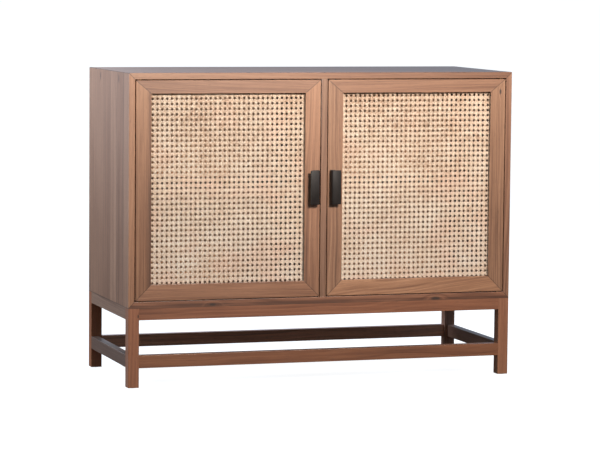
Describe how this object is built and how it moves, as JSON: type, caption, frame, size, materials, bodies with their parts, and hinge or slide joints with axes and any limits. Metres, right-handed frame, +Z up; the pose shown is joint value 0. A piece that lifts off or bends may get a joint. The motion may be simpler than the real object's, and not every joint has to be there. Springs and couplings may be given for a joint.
{
  "type": "sideboard",
  "caption": "Wooden sideboard on an open base, with inset mitred-frame doors of woven cane on knife hinges, flat pulls and shelved bays inside.",
  "frame": {"origin": "on the floor, under the middle of the whole object's box, pulls included", "axes": "+X to the right as seen from the front, +Y to the back, +Z up; the doors face -Y"},
  "size_m": [1.016, 0.429, 0.784],
  "materials": {
    "case_wood": "satin lacquer",
    "door_wood": "satin lacquer",
    "base_wood": "satin lacquer",
    "back_ply": "sealed plywood",
    "joinery_wood": "bare hardwood",
    "cane": "natural woven cane",
    "black_iron": "blackened, satin",
    "brass": "satin",
    "steel": "zinc plated",
    "nylon": "matte"
  },
  "bodies": {
    "cabinet": {"case_top": "case_wood", "case_bottom": "case_wood", "case_side_left": "case_wood", "case_side_right": "case_wood", "case_splines": "joinery_wood", "center_divider": "case_wood", "divider_dowels": "joinery_wood", "back_panel": "back_ply", "back_screws": "steel", "shelf_left": "case_wood", "shelf_right": "case_wood", "shelf_pins": "brass", "leg_front_left": "base_wood", "leg_front_right": "base_wood", "leg_back_left": "base_wood", "leg_back_right": "base_wood", "apron_front": "base_wood", "apron_back": "base_wood", "apron_left": "base_wood", "apron_right": "base_wood", "stretcher_front": "base_wood", "stretcher_back": "base_wood", "stretcher_left": "base_wood", "stretcher_right": "base_wood", "corner_blocks": "joinery_wood", "base_screws": "steel", "floor_glides": "nylon", "catch_housings": "nylon", "catch_magnets": "steel", "hinge_case_leaves": "brass", "case_hardware_screws": "steel"},
    "door_left": {"left_hinge_stile": "door_wood", "left_pull_stile": "door_wood", "left_top_rail": "door_wood", "left_bottom_rail": "door_wood", "left_door_splines": "joinery_wood", "left_cane": "cane", "left_cane_beads": "door_wood", "left_strike_plate": "steel", "left_pull": "black_iron", "left_pull_screws": "steel", "left_hinge_leaves": "brass", "left_door_screws": "steel"},
    "door_right": {"right_hinge_stile": "door_wood", "right_pull_stile": "door_wood", "right_top_rail": "door_wood", "right_bottom_rail": "door_wood", "right_door_splines": "joinery_wood", "right_cane": "cane", "right_cane_beads": "door_wood", "right_strike_plate": "steel", "right_pull": "black_iron", "right_pull_screws": "steel", "right_hinge_leaves": "brass", "right_door_screws": "steel"}
  },
  "joints": [
    {"name": "door_left_swing", "type": "hinge", "parent": "cabinet", "child": "door_left", "pos_m": [-0.478, -0.1895, 0.218], "axis": [0, 0, 1], "range_deg": [-110, 0]},
    {"name": "door_right_swing", "type": "hinge", "parent": "cabinet", "child": "door_right", "pos_m": [0.478, -0.1895, 0.218], "axis": [0, 0, 1], "range_deg": [0, 110]}
  ]
}
